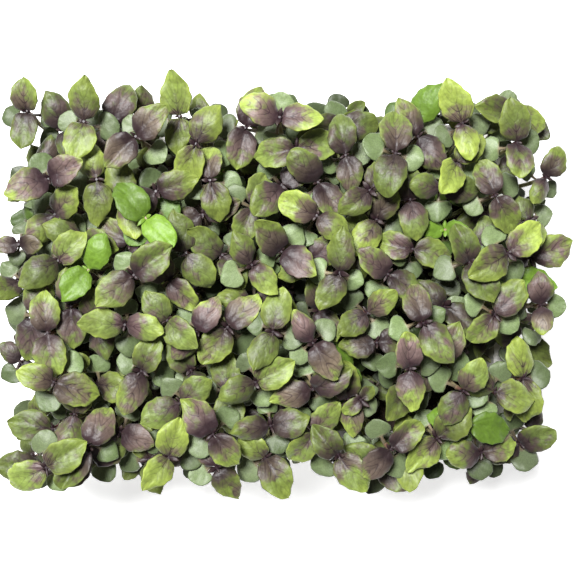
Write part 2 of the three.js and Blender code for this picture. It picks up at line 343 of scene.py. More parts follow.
def growYounger():
    pick = random.Random(younger["seed"])
    low, high = (np.array(corner) / mm for corner in cadBox)
    around, edge = younger["around"], younger["margin"] / 2
    low = low - around
    size = np.ceil((high - low + 2 * around) / younger["cell"]).astype(int)
    taken = np.zeros(size, bool)
    covered = np.zeros(size[:2], bool)

    def cells(points):
        return np.clip(((points - low) / younger["cell"]).astype(int), 1, size - 2)

    # A settled plant takes its cells and those just over and under them
    def settle(seedling):
        leafPart, stemPart = seedlingSamples(seedling)
        at = cells(np.concatenate([leafPart, stemPart]))
        for shift in (-1, 0, 1):
            x, y, z = (at + (0, 0, shift)).T
            taken[x, y, z] = True
        x, y, _ = cells(leafPart).T
        covered[x, y] = True

    def gain(seedling):
        leafPart, stemPart = seedlingSamples(seedling)
        points = np.concatenate([leafPart, stemPart])
        if (points < low + around + edge).any() or (points > high - edge).any():
            return 0
        x, y, z = cells(points).T
        if taken[x, y, z].any():
            return 0
        x, y, _ = cells(leafPart).T
        flat = np.unique(x * size[1] + y)
        return 1 + int((~covered.reshape(-1)[flat]).sum())

    def drawYounger():
        shares = [pick.uniform(-1, 1), pick.uniform(-1, 1)]
        if pick.random() < younger["atRim"]:
            shares[pick.choice((0, 0, 1))] = pick.choice((-1, 1)) * pick.uniform(*younger["rimShare"])
        foot = Vector([share * half for share, half in zip(shares, younger["half"])] + [stand["mediumTop"]])
        away, reach = pick.uniform(0, 2 * pi), younger["lean"] * pick.random() ** 0.5
        lower = Vector([foot[axis] * younger["overhang"][axis] for axis in (0, 1)] + [0])
        lower += Vector((reach * cos(away), reach * sin(away), 0))
        lower.z = stand["mediumTop"] + pick.uniform(*younger["heights"])
        shift = younger["shift"]
        upper = lower + Vector((
            pick.uniform(-shift, shift), pick.uniform(-shift, shift), pick.uniform(*younger["shoot"])))
        turn, scale = pick.uniform(0, 2 * pi), pick.uniform(*younger["size"])
        grown = scale * between(younger["grown"], pick.random() ** 0.4)
        seedLeaves = [drawLeaf("seed", turn + half * pi, pick.random, scale) for half in (0, 1)]
        leaves = [drawLeaf("leaf", turn + quarter * pi / 2, pick.random, grown) for quarter in (1, 3)]
        for leaf in seedLeaves + leaves:
            if pick.random() < younger["steep"]:
                leaf["lift"] += radians(pick.uniform(*younger["steepBy"]))
        return {"foot": foot, "lower": lower, "upper": upper, "turn": turn, "younger": True,
                "seedLeaves": seedLeaves, "leaves": leaves}

    def bareShare():
        inner = slice(younger["inner"], -younger["inner"])
        return 1 - covered[inner, inner].mean()

    for members in clumps.values():
        for seedling in members:
            settle(seedling)
    bare = bareShare()
    made = 0
    for _ in range(younger["count"]):
        tries = [drawYounger() for _ in range(younger["draws"])]
        gains = [gain(seedling) for seedling in tries]
        best = max(range(len(tries)), key=gains.__getitem__)
        if gains[best] > 0:
            settle(tries[best])
            near = min(spots, key=lambda s: math.dist((s["x"], s["y"]), tries[best]["foot"][:2]))
            clumps[near["name"]].append(tries[best])
            made += 1
    print("younger seedlings:", made, "bare share:", round(bare, 3), "to", round(bareShare(), 3))


growYounger()


# Blades, flat and unbent: x is the share of the way to the tip, y and z are millimetres across and above.

blades = {
    "marks": (1, 0.94, 0.78, 0.58, 0.38, 0.19, 0), "plainMarks": (1, 0.9, 0.62, 0.3, 0),
    "budMarks": (1, 0.55, 0),
    "stalkHalf": 0.5, "stalkThickness": 0.85, "thickness": 0.44, "budSlim": 0.45, "grownAt": 0.12,
    "sidePhases": (0, 1.9), "pairs": 4.2, "sweep": 0.85, "sweepPower": 1.45,
}


def leafHalf(share, phase):
    peak = 0.42 + 0.05 * sin(1.7 * phase)
    wave = 1 + 0.035 * sin(26 * share + 3 * phase)
    if share < peak:
        return sin(pi / 2 * share / peak) ** 0.55 * wave
    return (1 - ((share - peak) / (1 - peak)) ** 2.1) ** (0.8 + 0.14 * sin(2.3 * phase)) * wave


def seedHalf(share, phase):
    peak = 0.4 + 0.03 * sin(phase)
    if share < peak:
        return sin(pi / 2 * share / peak) ** 0.45
    return cos(pi / 2 * (share - peak) / (1 - peak)) ** 0.55


def budHalf(share, phase):
    return sin(pi * share ** 0.75) ** 0.9 * (1 + 0.05 * sin(7 * share + phase))


def leafShape(side, share, phase):
    edge, wavePhase = abs(side), phase + (2.1 if side > 0 else 0)
    height = (1.0 + 0.55 * sin(phase)) * edge * (1 - 0.35 * share)
    height += (-0.5 + 0.4 * sin(1.3 * phase)) * edge ** 3 - 0.45 * share ** 4
    height += 0.34 * sin(pi * edge ** 0.85) * sin(pi * share ** 0.8) ** 0.5
    height += 0.5 * edge ** 3 * sin(8.5 * share + wavePhase)
    height += 0.22 * edge ** 4 * sin(21 * share + 2 * wavePhase)
    swept = share - blades["sweep"] * edge ** blades["sweepPower"]
    swell = sin(pi * blades["pairs"] * swept) ** 2
    height += 0.08 * swell * (1 - side ** 2) * (1 - share ** 3)
    height += 0.35 * side * sin(3.2 * share + 2 * phase) + 0.3 * sin(5.5 * share + phase)
    return height


def seedShape(side, share, phase):
    height = -0.05 * side ** 2 - 0.4 * share ** 3
    height += 0.45 * side ** 2 * sin(5 * share + phase + (1.4 if side > 0 else 0))
    return height - 0.14 * math.exp(-((side / 0.16) ** 2)) * (1 - share)


def budShape(side, share, phase):
    return 0.25 * side ** 2


bladeKinds = {
    "leaf": {"half": leafHalf, "shape": leafShape, "notch": 0.05, "stalk": 0.45},
    "seed": {"half": seedHalf, "shape": seedShape, "notch": 0.2, "stalk": 1},
    "bud": {"half": budHalf, "shape": budShape, "notch": 0, "stalk": 1},
}


def bladeMesh(name, kind, stations, marks, phase):
    form, rule = leafForms[kind], bladeKinds[kind]
    whole = form["stalk"] + form["length"]
    stalkShare = rule["stalk"] * form["stalk"] / whole
    sides = [-mark for mark in marks] + [mark for mark in reversed(marks[:-1])]
    rings = [(0, None), (0.6 * stalkShare, None)]
    rings += [(None, 0.5 - 0.5 * cos(pi * (i + 0.35) / stations)) for i in range(stations)]
    slim = blades["budSlim"] if kind == "bud" else 1
    points, places = [], []
    for along, share in rings:
        blade = share if share is not None else 0
        growth = min(1, blade / blades["grownAt"])
        least = blades["stalkHalf"] * slim * (1 - 0.8 * blade)
        widths = [rule["half"](blade, phase + shift) * form["width"] for shift in blades["sidePhases"]]
        halves = [max(least, width / 2) for width in widths]
        thick = slim * (blades["stalkThickness"] + (blades["thickness"] - blades["stalkThickness"]) * growth)
        for face, order in ((1, sides), (-1, sides[-2:0:-1])):
            for side in order:
                back = rule["notch"] * side ** 2 * (1 - blade) * growth
                x = along if along is not None else stalkShare + (1 - stalkShare) * (blade - back)
                z = rule["shape"](side, blade, phase) * growth
                z += face * thick / 2 * math.sqrt(max(0, 1 - side ** 2)) ** 0.6
                points.append((x, side * halves[side > 0], z))
                places.append((0.5 + side / 2, blade, 0 if face > 0 else 1))
    around = 2 * len(sides) - 2
    faces = []
    for i in range(len(rings) - 1):
        for j in range(around):
            k = (j + 1) % around
            faces.append((i * around + j, (i + 1) * around + j, (i + 1) * around + k, i * around + k))
    last = (len(rings) - 1) * around
    points += [(0, 0, 0), (1, 0, rule["shape"](0, 1, phase))]
    places += [(0.5, 0, 0.5), (0.5, 1, 0.5)]
    root, tip = len(points) - 2, len(points) - 1
    faces += [(root, j, (j + 1) % around) for j in range(around)]
    faces += [(tip, last + (j + 1) % around, last + j) for j in range(around)]
    mesh = meshFrom(name, points, faces)
    uv = mesh.uv_layers.new(name="bladeUv")
    for loop in mesh.loops:
        uv.data[loop.index].uv = places[loop.vertex_index][:2]
    setNumbers(mesh, "under", [place[2] for place in places])
    setNumbers(mesh, "bladeAt", [value for point in points for value in point], "FLOAT_VECTOR")
    return mesh


bladePlan = [("leaf", 24, "marks", phase) for phase in (0.3, 2.2, 4.4, 5.4, 1.3)]
bladePlan += [("leaf", 17, "plainMarks", phase) for phase in (1.2, 3.6, 5.1)]
bladePlan += [("seed", 9, "plainMarks", phase) for phase in (0.5, 2.6, 4.5)]
bladePlan += [("bud", 5, "budMarks", 0)]
bladeShelf = newShelf("blades")
for number, (kind, stations, marks, phase) in enumerate(bladePlan):
    name = f"blade_{number:02d}"
    template = bpy.data.objects.new(name, bladeMesh(name, kind, stations, blades[marks], phase))
    bladeShelf.objects.link(template)
variantsOf = {"leaf": range(5), "plainLeaf": range(5, 8), "seed": range(8, 11), "bud": (11,)}
print("blade templates:", len(bladePlan))


# Shader groups that more than one finish uses

def veinGroup():
    tree, inputs, outputs = newTree("leafVeins", "ShaderNodeTree", [
        ("Across", "Float", 0.5), ("Along", "Float", 0.5),
        ("Pairs", "Float", blades["pairs"]), ("Sweep", "Float", blades["sweep"]),
    ], [("Veins", "Float"), ("Swell", "Float"), ("Margin", "Float")])
    do = sumsIn(tree)
    side = do.size(do.linear(inputs["Across"], 2.0, -1.0))
    swept = do.times(do.power(side, blades["sweepPower"]), inputs["Sweep"])
    phase = do.times(do.less(inputs["Along"], swept), inputs["Pairs"])
    swell = do.power(do.sine(do.times(phase, pi)), 2.0)
    line = do.power(do.less(1.0, swell), 9.0)
    fade = do.less(1.0, do.power(side, 2.0), clamp=True)
    rib = do.less(1.0, do.over(side, 0.11), clamp=True)
    ribFade = do.less(1.15, inputs["Along"], clamp=True)
    veins = do.most(do.times(line, fade), do.times(rib, ribFade))
    spread = do.times(do.linear(inputs["Along"], -0.6, side), 3.0 * pi)
    fan = do.power(do.size(do.cosine(spread)), 8.0)
    nearBase = do.less(1.0, do.over(inputs["Along"], 0.6), clamp=True)
    veins = do.most(veins, do.times(fan, nearBase))
    tipward = do.power(inputs["Along"], 5.0)
    feed(tree, veins, outputs["Veins"])
    feed(tree, do.times(swell, fade), outputs["Swell"])
    feed(tree, do.most(do.power(side, 5.0), tipward), outputs["Margin"])
    return tree


def mottleGroup():
    tree, inputs, outputs = newTree("mottle", "ShaderNodeTree", [
        ("Vector", "Vector"), ("Scale", "Float", 200.0), ("Seed", "Float", 0.0), ("Contrast", "Float", 2.0),
    ], [("Mask", "Float")])
    do = sumsIn(tree)
    clouds = addNode(tree, "ShaderNodeTexNoise", {
        "Vector": inputs["Vector"], "W": inputs["Seed"], "Scale": inputs["Scale"], "Detail": 3.0,
    }, noise_dimensions="4D")
    spread = do.times(do.less(clouds.outputs[0], 0.5), inputs["Contrast"])
    feed(tree, do.add(spread, 0.5, clamp=True), outputs["Mask"])
    return tree


leafVeins, mottle = veinGroup(), mottleGroup()


def useGroup(tree, group, feeds):
    return addNode(tree, "ShaderNodeGroup", feeds, node_tree=group).outputs


def mottled(tree, place, scale, contrast, seed=0.0):
    feeds = {"Vector": place, "Scale": scale, "Seed": seed, "Contrast": contrast}
    return useGroup(tree, mottle, feeds)["Mask"]


def mixColours(tree, factor, first, second):
    return addNode(tree, "ShaderNodeMix", {0: factor, 6: first, 7: second}, data_type="RGBA").outputs[2]


def newFinish(name, **values):
    material = bpy.data.materials.new(name)
    material.use_nodes = True
    shader = material.node_tree.nodes["Principled BSDF"]
    for socket, value in values.items():
        shader.inputs[socket.replace("_", " ")].default_value = value
    return material, material.node_tree, shader, sumsIn(material.node_tree)


def lookOf(tree, name):
    return addNode(tree, "ShaderNodeAttribute", attribute_name=name).outputs["Fac"]


def objectPlace(tree):
    return addNode(tree, "ShaderNodeTexCoord").outputs["Object"]


def toned(tree, colour, tone):
    return firstOf(tree, "ShaderNodeHueSaturation", {"Value": tone, "Color": colour})


def paint(tree, shader, colour, roughness, height, depth):
    relief = firstOf(tree, "ShaderNodeBump", {"Height": height, "Distance": depth * mm})
    for name, value in (("Base Color", colour), ("Roughness", roughness), ("Normal", relief)):
        feed(tree, value, shader.inputs[name])


# Leaf, seed leaf, bud and stem finishes

tints = {name: srgb(*levels) for name, levels in {
    "green": (114, 136, 60), "olive": (76, 88, 40), "margin": (172, 192, 76), "lime": (122, 160, 50),
    "purple": (108, 93, 80), "plum": (112, 86, 92), "deep": (38, 20, 28), "underLeaf": (134, 122, 112),
    "seedLeaf": (132, 148, 108), "seedLime": (112, 150, 60), "seedUnder": (134, 142, 116),
    "stemLow": (164, 172, 120), "stemHigh": (134, 78, 80),
}.items()}


def bladePlaces(tree):
    places = firstOf(tree, "ShaderNodeUVMap", uv_map="bladeUv")
    return addNode(tree, "ShaderNodeSeparateXYZ", {"Vector": places}).outputs[:2]


def leafFinish():
    material, tree, shader, do = newFinish(
        "basilLeaf", Specular_IOR_Level=0.42, Coat_Weight=0.08, Coat_Roughness=0.4, Sheen_Weight=0.08)
    across, along = bladePlaces(tree)
    spot, purple, lime = (lookOf(tree, name) for name in ("spot", "purple", "lime"))
    place = objectPlace(tree)
    drift = mottled(tree, place, 260.0, 1.0, spot)
    wandering = do.add(along, do.linear(drift, 0.22, -0.11))
    veins = useGroup(tree, leafVeins, {"Across": across, "Along": wandering})
    patches = mottled(tree, place, 110.0, 4.5, spot)
    flecks = mottled(tree, place, 420.0, 3.5, spot)
    fine = mottled(tree, place, 1100.0, 1.6, spot)
    bright = do.linear(lime, 5.0, -4.0, clamp=True)
    dull = do.less(1.0, bright)
    # Purple covers the base, breaks up into patches and flecks, and stops short of the rim
    cover = do.linear(purple, 2.2, -1.0)
    heart = do.less(1.0, do.over(wandering, 0.58), clamp=True)
    cover = do.add(cover, do.times(do.less(0.6, along), 1.1))
    cover = do.linear(heart, 0.7, cover)
    cover = do.add(cover, do.linear(patches, 1.2, -0.5))
    cover = do.add(cover, do.linear(flecks, 0.9, -0.4))
    cover = do.less(cover, do.times(veins["Margin"], 0.8))
    cover = do.add(cover, do.times(veins["Veins"], 0.2), clamp=True)
    cover = do.times(do.linear(cover, 0.84, 0.1), dull)
    rim = do.times(veins["Margin"], do.linear(patches, -0.7, 1.0))
    rim = do.times(rim, do.linear(lime, 0.7, 0.5), clamp=True)
    colour = mixColours(tree, do.times(flecks, 0.75), tints["green"], tints["olive"])
    colour = mixColours(tree, do.linear(lime, 0.7, -0.1, clamp=True), colour, tints["margin"])
    colour = mixColours(tree, rim, colour, tints["margin"])
    colour = mixColours(tree, bright, colour, tints["lime"])
    tinted = do.linear(do.sine(spot), 0.4, 0.3, clamp=True)
    colour = mixColours(tree, cover, colour, mixColours(tree, tinted, tints["purple"], tints["plum"]))
    # Dark veins and a dark heart, weaker on bright leaves
    veinStrength = do.linear(heart, 0.9, do.linear(cover, 0.5, 0.24))
    veinDark = do.times(veins["Veins"], veinStrength)
    heartDark = do.times(heart, do.linear(purple, 1.5, 0.3))
    dark = do.most(veinDark, heartDark, clamp=True)
    dark = do.times(dark, do.linear(dull, 0.67, 0.25))
    colour = mixColours(tree, dark, colour, tints["deep"])
    colour = mixColours(tree, do.times(lookOf(tree, "under"), 0.8), colour, tints["underLeaf"])
    puckers = mottled(tree, place, 620.0, 2.6, spot)
    patchy = do.linear(puckers, 0.34, do.linear(fine, 0.3, 0.68))
    # The tone attribute holds random brightness times painted shade that darkens lower leaves
    colour = toned(tree, colour, do.times(lookOf(tree, "tone"), patchy))
    height = do.linear(puckers, 0.8, do.times(veins["Swell"], 0.2))
    paint(tree, shader, colour, do.linear(fine, 0.16, 0.42), height, 0.16)
    return material


def seedLeafFinish():
    material, tree, shader, do = newFinish(
        "basilSeedLeaf", Specular_IOR_Level=0.5, Coat_Weight=0.08, Coat_Roughness=0.45, Sheen_Weight=0.12)
    across, along = bladePlaces(tree)
    veins = useGroup(tree, leafVeins, {"Across": across, "Along": along, "Pairs": 2.0, "Sweep": 0.8})
    spot = lookOf(tree, "spot")
    place = objectPlace(tree)
    blotch = mottled(tree, place, 220.0, 1.8, spot)
    dots = mottled(tree, place, 2400.0, 6.0, spot)
    colour = mixColours(tree, lookOf(tree, "lime"), tints["seedLeaf"], tints["seedLime"])
    colour = mixColours(tree, do.times(blotch, 0.3), colour, tints["green"])
    colour = mixColours(tree, do.times(do.less(1.0, dots), 0.24), colour, tints["deep"])
    stalk = do.less(1.0, do.over(along, 0.12), clamp=True)
    colour = mixColours(tree, do.times(stalk, 0.5), colour, tints["stemHigh"])
    colour = mixColours(tree, do.times(lookOf(tree, "under"), 0.7), colour, tints["seedUnder"])
    # The tone attribute holds random brightness times painted shade that darkens lower seed leaves
    colour = toned(tree, colour, lookOf(tree, "tone"))
    height = do.linear(dots, 0.25, veins["Swell"])
    paint(tree, shader, colour, do.linear(blotch, 0.14, 0.42), height, 0.08)
    return material


def budFinish():
    material, tree, shader, do = newFinish("basilBud", Specular_IOR_Level=0.45)
    _, along = bladePlaces(tree)
    spot = lookOf(tree, "spot")
    blotch = mottled(tree, objectPlace(tree), 900.0, 2.0, spot)
    tip = do.times(do.power(along, 2.0), do.linear(blotch, 0.5, 0.1))
    colour = mixColours(tree, tip, tints["deep"], tints["purple"])
    colour = mixColours(tree, do.times(lookOf(tree, "lime"), 0.8), colour, tints["lime"])
    paint(tree, shader, colour, do.linear(blotch, 0.2, 0.4), blotch, 0.1)
    return material


def stemFinish():
    material, tree, shader, do = newFinish(
        "basilStem", Specular_IOR_Level=0.45, Coat_Weight=0.1, Coat_Roughness=0.3)
    place = objectPlace(tree)
    rise = lookOf(tree, "purple")
    streaks = mottled(tree, place, 420.0, 2.4, lookOf(tree, "spot"))
    blush = do.times(rise, do.linear(streaks, 0.8, 1.0), clamp=True)
    colour = mixColours(tree, blush, tints["stemLow"], tints["stemHigh"])
    crown = do.linear(rise, 4.0, -3.0, clamp=True)
    colour = mixColours(tree, crown, colour, tints["deep"])
    paint(tree, shader, colour, do.linear(streaks, 0.2, 0.35), streaks, 0.12)
    return material


finishes = {"Leaf": leafFinish(), "Seed Leaf": seedLeafFinish(), "Bud": budFinish(), "Stem": stemFinish()}
print("plant finishes:", len(finishes))


# The tree that grows a clump: a tube along each stem, and at each leaf's root a blade bent by its numbers

bendNumbers = ("reach", "size", "lift", "curl", "fold", "roll", "turn", "girth")
leafNumbers = bendNumbers + ("purple", "lime", "tone", "spot")
plants = {
    "stemSides": 7, "ripple": 2.2, "rippleScale": 110.0, "bow": 0.05, "sway": 0.25, "bends": 6,
    "rootDepth": 6, "crown": 0.4, "budSize": (0.4, 0.85), "budShares": (1, 0.9, 0.6, 0.5),
}


def instancesOf(tree, points, collection, feeds):
    shelf = firstOf(tree, "GeometryNodeCollectionInfo", {
        "Collection": collection, "Separate Children": True, "Reset Children": True,
    })
    placed = firstOf(tree, "GeometryNodeInstanceOnPoints", {
        "Points": points, "Instance": shelf, "Pick Instance": True, **feeds,
    })
    return firstOf(tree, "GeometryNodeRealizeInstances", {"Geometry": placed})


def growTree():
    tree, inputs, outputs = newTree("growSeedlings", "GeometryNodeTree", [
        ("Plan", "Geometry"), ("Blades", "Collection"), ("Stem Sides", "Int", 3),
        ("Ripple", "Float", 0.0), ("Ripple Scale", "Float", 1.0), ("Low", "Vector"), ("High", "Vector"),
        ("Leaf", "Material"), ("Seed Leaf", "Material"), ("Bud", "Material"), ("Stem", "Material"),
    ], [("Plants", "Geometry")])
    do = sumsIn(tree)

    def named(name, kind="FLOAT"):
        return firstOf(tree, "GeometryNodeInputNamedAttribute", {"Name": name}, data_type=kind)

    def kindIs(number):
        feeds = {2: named("kind", "INT"), 3: number}
        return firstOf(tree, "FunctionNodeCompare", feeds, data_type="INT", operation="EQUAL")

    def moved(geometry, **feeds):
        return firstOf(tree, "GeometryNodeSetPosition", {"Geometry": geometry, **feeds})

    # Stems
    ways = firstOf(tree, "GeometryNodeMeshToCurve", {"Mesh": inputs["Plan"]})
    feeds = {"Resolution": inputs["Stem Sides"], "Radius": 1.0}
    profile = firstOf(tree, "GeometryNodeCurvePrimitiveCircle", feeds)
    tubes = firstOf(tree, "GeometryNodeCurveToMesh", {
        "Curve": ways, "Profile Curve": profile, "Scale": named("girth"), "Fill Caps": True,
    })

    # Blades, brought to their roots
    isStem = kindIs(kindNumbers["stem"])
    isLeaf = firstOf(tree, "FunctionNodeBooleanMath", {0: isStem}, operation="NOT")
    roots = firstOf(tree, "GeometryNodeMeshToPoints", {"Mesh": inputs["Plan"], "Selection": isLeaf})
    flat = instancesOf(tree, roots, inputs["Blades"], {"Instance Index": named("variant", "INT")})

    # Bent along an arc, folded at the midrib, rolled and turned
    spread = addNode(tree, "ShaderNodeSeparateXYZ", {"Vector": named("bladeAt", "FLOAT_VECTOR")}).outputs
    lift, curl, fold, roll = (named(name) for name in ("lift", "curl", "fold", "roll"))
    reach, size = named("reach"), do.times(named("size"), mm)
    across, above = do.times(spread[1], size), do.times(spread[2], size)
    slope = do.less(lift, do.times(curl, spread[0]))
    sinSlope, cosSlope = do.sine(slope), do.cosine(slope)
    radius = do.over(reach, curl)
    out = do.times(do.less(do.sine(lift), sinSlope), radius)
    up = do.times(do.less(cosSlope, do.cosine(lift)), radius)
    aside = do.times(across, do.cosine(fold))
    sunk = do.times(do.size(across), do.sine(fold))
    off = do.less(above, sunk)
    sinRoll, cosRoll = do.sine(roll), do.cosine(roll)
    side = do.less(do.times(aside, cosRoll), do.times(off, sinRoll))
    normal = do.add(do.times(aside, sinRoll), do.times(off, cosRoll))
    ahead = do.less(out, do.times(sinSlope, normal))
    rise = do.add(up, do.times(cosSlope, normal))
    local = firstOf(tree, "ShaderNodeCombineXYZ", {"X": ahead, "Y": side, "Z": rise})
    feeds = {"Vector": local, "Angle": named("turn")}
    turned = firstOf(tree, "ShaderNodeVectorRotate", feeds, rotation_type="Z_AXIS")
    bent = moved(flat, Position=doVector(tree, "ADD", turned, named("root", "FLOAT_VECTOR")))

    # A little unevenness, more towards the tip
    uneven = addNode(tree, "ShaderNodeTexNoise", {"Scale": inputs["Ripple Scale"], "Detail": 2.5})
    centred = doVector(tree, "SUBTRACT", uneven.outputs["Color"], (0.5, 0.5, 0.5))
    amount = do.times(do.times(inputs["Ripple"], mm * 2), spread[0])
    feeds = {0: centred, "Scale": amount}
    rippled = moved(bent, Offset=firstOf(tree, "ShaderNodeVectorMath", feeds, operation="SCALE"))
    inside = firstOf(tree, "GeometryNodeInputPosition")
    for operation, corner in (("MAXIMUM", "Low"), ("MINIMUM", "High")):
        inside = doVector(tree, operation, inside, inputs[corner])
    rippled = moved(rippled, Position=inside)

    joined = tree.nodes.new("GeometryNodeJoinGeometry")
    tree.links.new(tubes, joined.inputs[0])
    tree.links.new(rippled, joined.inputs[0])
    smooth = firstOf(tree, "GeometryNodeSetShadeSmooth", {"Geometry": joined.outputs[0]})
    last = firstOf(tree, "GeometryNodeRealizeInstances", {"Geometry": smooth})
    for label, kind in (("Leaf", "leaf"), ("Seed Leaf", "seed"), ("Bud", "bud"), ("Stem", "stem")):
        last = firstOf(tree, "GeometryNodeSetMaterial", {
            "Geometry": last, "Selection": kindIs(kindNumbers[kind]), "Material": inputs[label],
        })
    feed(tree, last, outputs["Plants"])
    return tree


seedlingTree = growTree()


def grow(name, plan, tree, values):
    holder = newObject(name + "_plan", plan)
    modifier = holder.modifiers.new("grow", "NODES")
    modifier.node_group = tree
    for item in tree.interface.items_tree:
        if item.in_out == "INPUT" and item.name in values:
            modifier[item.identifier] = values[item.name]
    graph = bpy.context.evaluated_depsgraph_get()
    grown = holder.evaluated_get(graph)
    mesh = bpy.data.meshes.new_from_object(grown, preserve_all_data_layers=True, depsgraph=graph)
    mesh.name = name
    bpy.data.objects.remove(holder)
    return newObject(name, mesh)


# How colours vary: each slot's share of purple and lime, how much leaves differ in brightness, painted shade
# by height

lookLimits = {
    "foliage_purple": {"purple": (0.42, 0.9), "lime": (0.0, 0.45)},
    "foliage_mottled": {"purple": (0.22, 0.62), "lime": (0.05, 0.55)},
    "foliage_green": {"purple": (0.02, 0.45), "lime": (0.2, 0.75)},
}
brightLimes = {"share": 0.06, "purple": 0.0, "lime": (1.0, 1.2), "tone": 0.8}
toneLimits = (0.66, 1.5)
looks = {"brightAt": 0.94, "brightStem": 0.4, "seedLime": 0.35, "purpleStep": 0.14, "spots": 50}
# Painted shade: leaves lower in the canopy are darkened by their height, standing in for the shade of the
# leaves above
paintedShade = {"low": 50, "high": 83, "darkest": 0.36}  # painted shade on lower leaves, by height


def paintedShadeAt(height):
    share = (height - paintedShade["low"]) / (paintedShade["high"] - paintedShade["low"])
    return paintedShade["darkest"] + (1 - paintedShade["darkest"]) * min(1, max(0, share))


def drawLook(pick, slot):
    limits = lookLimits[slot]
    look = {"purple": pick.uniform(*limits["purple"]), "lime": pick.uniform(*limits["lime"])}
    if pick.random() < brightLimes["share"]:
        look = {"purple": brightLimes["purple"], "lime": pick.uniform(*brightLimes["lime"])}
    look["bright"] = look["lime"] > looks["brightAt"]
    return look


def stemWay(seedling, pick):
    foot, lower, upper = seedling["foot"], seedling["lower"], seedling["upper"]
    lean = Vector((lower.x - foot.x, lower.y - foot.y, 0)) * plants["bow"]
    most, bends = plants["sway"], plants["bends"]
    sway = [Vector((pick.uniform(-most, most), pick.uniform(-most, most), 0)) for _ in range(bends)]
    way = [(foot - Vector((0, 0, plants["rootDepth"])), 0.5), (foot, 0.95)]
    for i in range(bends):
        share = (i + 1) / (bends + 1)
        way.append((foot.lerp(lower, share) - lean * sin(pi * share) + sway[i], 0.95 - 0.2 * share))
    way += [(lower - Vector((0, 0, 0.9)), 0.8), (lower, 1.0), (lower + Vector((0, 0, 1.0)), 0.75)]
    way += [(lower.lerp(upper, 0.5), 0.66), (upper - Vector((0, 0, 0.8)), 0.7), (upper, 0.85)]
    way.append((upper + Vector((0, 0, 0.9)), 0.45))
    return way


def clumpPlan(name, members, slot):
    pick = random.Random("look " + name)
    points, edges, rows = [], [], []
    blank = {key: 0.0 for key in leafNumbers}
    purpleStep = looks["purpleStep"]
    for seedling in members:
        look = drawLook(pick, slot)
        spot = pick.uniform(0, looks["spots"])
        way = stemWay(seedling, pick)
        first = len(points)
        for i, (place, girth) in enumerate(way):
            points.append(place * mm)
            rise = (i / (len(way) - 1)) ** 2 * (looks["brightStem"] if look["bright"] else 1)
            stem = {"girth": girth * mm, "purple": rise, "spot": spot}
            rows.append({**blank, "kind": kindNumbers["stem"], "variant": 0, **stem})
        edges += [(i, i + 1) for i in range(first, len(points) - 1)]
        leafShelf = "plainLeaf" if seedling.get("younger") else "leaf"
        crown = seedling["upper"] + Vector((0, 0, plants["crown"]))
        grown = pick.uniform(*plants["budSize"])
        placed = leafRoots(seedling)
        for quarter, share in zip((0, 2, 1, 3), plants["budShares"]):
            turn = seedling["turn"] + quarter * pi / 2
            placed.append((crown, drawLeaf("bud", turn, pick.random, grown * share)))
        dimmed = brightLimes["tone"] if look["bright"] else 1
        for root, leaf in placed:
            kind = leaf["kind"]
            form = leafForms[kind]
            limes = {"seed": 1.0 if look["bright"] else pick.uniform(0, looks["seedLime"])}
            limes.update(leaf=look["lime"], bud=float(look["bright"]))
            variants = variantsOf[leafShelf if kind == "leaf" else kind]
            points.append(root * mm)
            rows.append({
                **{key: leaf[key] for key in ("size", "lift", "curl", "fold", "roll", "turn")},
                "reach": (form["stalk"] + form["length"]) * leaf["size"] * mm, "girth": 0.0,
                "kind": kindNumbers[kind], "variant": pick.choice(variants),
                "purple": min(1, max(0, look["purple"] + pick.uniform(-purpleStep, purpleStep))),
                # tone: random brightness, dimmed on bright leaves, times painted shade by height
                "lime": limes[kind], "tone": dimmed * pick.uniform(*toneLimits) * paintedShadeAt(root.z),
                "spot": pick.uniform(0, looks["spots"]),
            })
    plan = meshFrom(name + "_plan", points, [], edges)
    for key in leafNumbers:
        setNumbers(plan, key, [row[key] for row in rows])
    for key in ("kind", "variant"):
        setNumbers(plan, key, [row[key] for row in rows], "INT")
    setNumbers(plan, "root", [value for point in points for value in point], "FLOAT_VECTOR")
    return plan


def dropNumbers(mesh):
    for name in bendNumbers + ("variant", "root", "bladeAt", "kind", "radius"):
        if name in mesh.attributes:
            mesh.attributes.remove(mesh.attributes[name])


total = 0
for name, members in clumps.items():
    node = "seedlings_" + name
    piece = grow("clump_" + name, clumpPlan(name, members, slotOf[node]), seedlingTree, {
        "Blades": bladeShelf, "Stem Sides": plants["stemSides"],
        "Ripple": plants["ripple"], "Ripple Scale": plants["rippleScale"],
        "Low": cadBox[0], "High": cadBox[1], **finishes,
    })
    dropNumbers(piece.data)
    total += sum(len(face.vertices) - 2 for face in piece.data.polygons)
    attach(piece, "root")
    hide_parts(node)
clearShelf(bladeShelf)
print("clumps:", len(spots), "triangles:", total)


# Growing medium: a block with a crumbled top, and loose crumbs and fibres over it

soil = {
    "cells": (116, 80), "cornerRadius": 7.5, "taper": 7 / 45, "relief": 1.3, "clod": 0.11, "grit": 0.45,
    "crumbs": 5200, "crumbSize": (0.35, 1.25), "seed": 12, "turnSeed": 3, "sizeSeed": 5,
    "crumbForms": ((1, 1), (1.3, 0.8), (1, 0.7), (4.5, 0.16)),
}


def soilFinish():
    material, tree, shader, do = newFinish("moistMedium")
    place = objectPlace(tree)
    clods = mottled(tree, place, 260.0, 2.5)
    grit = mottled(tree, place, 1600.0, 3.0)
    colour = mixColours(tree, clods, srgb(22, 16, 12), srgb(46, 33, 24))
    colour = mixColours(tree, do.times(grit, 0.5), colour, srgb(72, 54, 38))
    paint(tree, shader, colour, 0.9, grit, 0.5)
    return material


def soilRise(x, y):
    clods = noise.noise((x * soil["clod"], y * soil["clod"], 3))
    grit = noise.noise((x * soil["grit"], y * soil["grit"], 9))
    return -soil["relief"] * (0.5 - 0.32 * clods - 0.18 * grit)


